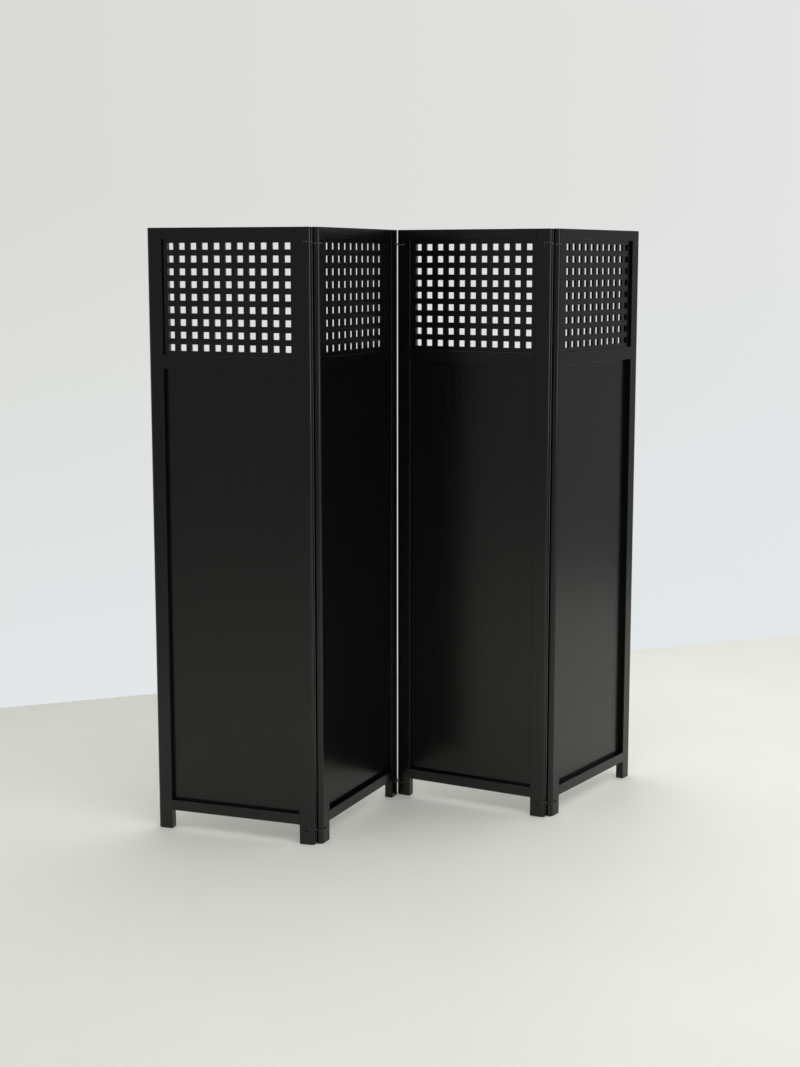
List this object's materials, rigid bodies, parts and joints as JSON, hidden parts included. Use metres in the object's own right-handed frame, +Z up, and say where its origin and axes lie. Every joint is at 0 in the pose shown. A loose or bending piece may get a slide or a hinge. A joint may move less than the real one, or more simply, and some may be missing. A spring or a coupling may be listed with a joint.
{
  "type": "folding screen",
  "caption": "Free-standing zigzag folding screen in black wood, with square lattice over plain boards and laced cord hinges.",
  "frame": {"origin": "on the floor, under the middle of the box round the whole screen as it stands", "axes": "+Z up, X along the row of panels from the first to the last, and -Y towards the viewer, whom the front faces and the outer two junctions point at"},
  "size_m": [1.6148, 0.3886, 1.85],
  "materials": {
    "stained_wood": "black stain under satin lacquer",
    "stained_board": "black stain under satin lacquer",
    "dowel_wood": "plain wood",
    "cord": "matt braided cord"
  },
  "bodies": {
    "panel_1": {"panel_1_left_stile": "stained_wood", "panel_1_right_stile": "stained_wood", "panel_1_bottom_rail": "stained_wood", "panel_1_middle_rail": "stained_wood", "panel_1_top_rail": "stained_wood", "panel_1_board": "stained_board", "panel_1_lattice_side_bars": "stained_wood", "panel_1_lattice_end_bars": "stained_wood", "panel_1_lattice_uprights": "stained_wood", "panel_1_lattice_crossbars": "stained_wood", "panel_1_dowels": "dowel_wood"},
    "hinge_12": {"hinge_12_bottom_cord": "cord", "hinge_12_top_cord": "cord"},
    "panel_2": {"panel_2_left_stile": "stained_wood", "panel_2_right_stile": "stained_wood", "panel_2_bottom_rail": "stained_wood", "panel_2_middle_rail": "stained_wood", "panel_2_top_rail": "stained_wood", "panel_2_board": "stained_board", "panel_2_lattice_side_bars": "stained_wood", "panel_2_lattice_end_bars": "stained_wood", "panel_2_lattice_uprights": "stained_wood", "panel_2_lattice_crossbars": "stained_wood", "panel_2_dowels": "dowel_wood"},
    "hinge_23": {"hinge_23_bottom_cord": "cord", "hinge_23_top_cord": "cord"},
    "panel_3": {"panel_3_left_stile": "stained_wood", "panel_3_right_stile": "stained_wood", "panel_3_bottom_rail": "stained_wood", "panel_3_middle_rail": "stained_wood", "panel_3_top_rail": "stained_wood", "panel_3_board": "stained_board", "panel_3_lattice_side_bars": "stained_wood", "panel_3_lattice_end_bars": "stained_wood", "panel_3_lattice_uprights": "stained_wood", "panel_3_lattice_crossbars": "stained_wood", "panel_3_dowels": "dowel_wood"},
    "hinge_34": {"hinge_34_bottom_cord": "cord", "hinge_34_top_cord": "cord"},
    "panel_4": {"panel_4_left_stile": "stained_wood", "panel_4_right_stile": "stained_wood", "panel_4_bottom_rail": "stained_wood", "panel_4_middle_rail": "stained_wood", "panel_4_top_rail": "stained_wood", "panel_4_board": "stained_board", "panel_4_lattice_side_bars": "stained_wood", "panel_4_lattice_end_bars": "stained_wood", "panel_4_lattice_uprights": "stained_wood", "panel_4_lattice_crossbars": "stained_wood", "panel_4_dowels": "dowel_wood"}
  },
  "joints": [
    {"name": "fold_12_left", "type": "hinge", "parent": "hinge_12", "child": "panel_1", "pos_m": [-0.39567, -0.17879, 0], "axis": [0, 0, -1], "range_deg": [-41, 49], "deforming": ["hinge_12_bottom_cord", "hinge_12_top_cord"]},
    {"name": "fold_12_right", "type": "hinge", "parent": "panel_2", "child": "hinge_12", "pos_m": [-0.36836, -0.17664, 0], "axis": [0, 0, -1], "range_deg": [-41, 49], "deforming": ["hinge_12_bottom_cord", "hinge_12_top_cord"]},
    {"name": "fold_23_left", "type": "hinge", "parent": "hinge_23", "child": "panel_2", "pos_m": [-0.0207, 0.17713, 0], "axis": [0, 0, 1], "range_deg": [-45, 45], "deforming": ["hinge_23_bottom_cord", "hinge_23_top_cord"]},
    {"name": "fold_23_right", "type": "hinge", "parent": "hinge_23", "child": "panel_3", "pos_m": [0.00949, 0.17739, 0], "axis": [0, 0, -1], "range_deg": [-45, 45], "deforming": ["hinge_23_bottom_cord", "hinge_23_top_cord"]},
    {"name": "fold_34_left", "type": "hinge", "parent": "panel_3", "child": "hinge_34", "pos_m": [0.36327, -0.17026, 0], "axis": [0, 0, 1], "range_deg": [-40, 50], "deforming": ["hinge_34_bottom_cord", "hinge_34_top_cord"]},
    {"name": "fold_34_right", "type": "hinge", "parent": "hinge_34", "child": "panel_4", "pos_m": [0.39058, -0.17241, 0], "axis": [0, 0, 1], "range_deg": [-40, 50], "deforming": ["hinge_34_bottom_cord", "hinge_34_top_cord"]}
  ],
  "couplings": [
    {"joint": "fold_12_left", "follows": "fold_12_right", "ratio": 1},
    {"joint": "fold_23_right", "follows": "fold_23_left", "ratio": 1},
    {"joint": "fold_34_right", "follows": "fold_34_left", "ratio": 1}
  ]
}
